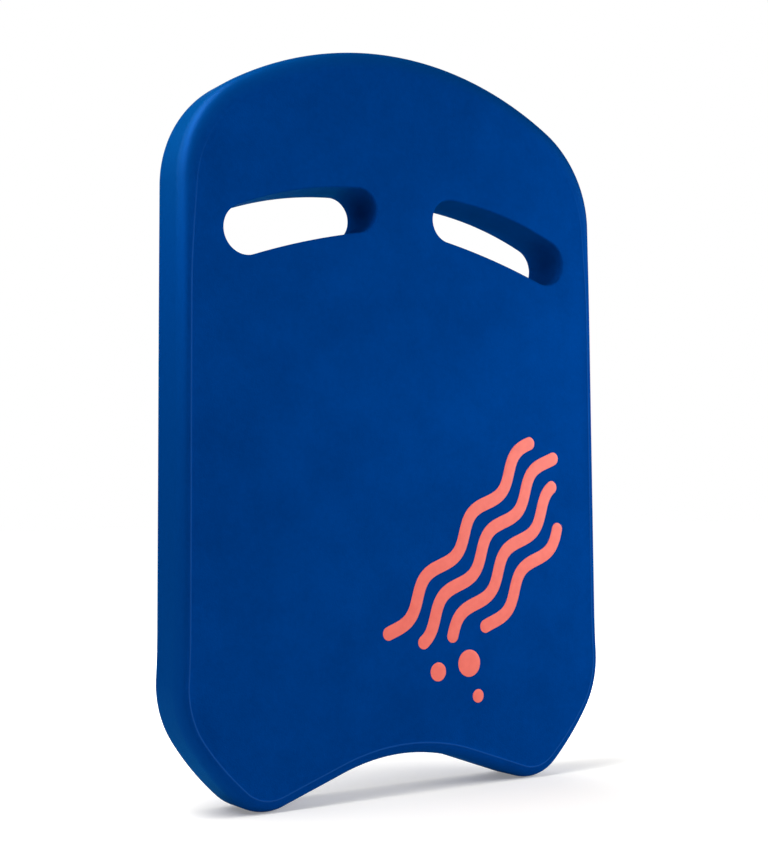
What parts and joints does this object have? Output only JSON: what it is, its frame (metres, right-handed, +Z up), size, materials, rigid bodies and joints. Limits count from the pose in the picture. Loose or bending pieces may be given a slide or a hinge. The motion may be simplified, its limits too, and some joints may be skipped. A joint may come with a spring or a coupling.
{
  "type": "kickboard float",
  "caption": "Flat foam kickboard with a domed nose, curved hand slots near the top, rounded edges, a notched tail between two horns and a printed wave motif.",
  "frame": {"origin": "on the ground under the middle of the board, where it stands upright on its two tail horns", "axes": "+Z up the board to its nose, +X across it to the right of someone facing the printed face, +Y from the printed front face to the plain back face"},
  "size_m": [0.291, 0.0342, 0.43],
  "materials": {
    "foam": "matte closed-cell foam skin",
    "ink": "satin screen-printed ink"
  },
  "bodies": {
    "root": {"foam_board": "foam", "print_wave_1": "ink", "print_wave_2": "ink", "print_wave_3": "ink", "print_wave_4": "ink", "print_bubble_1": "ink", "print_bubble_2": "ink", "print_bubble_3": "ink"}
  },
  "joints": []
}
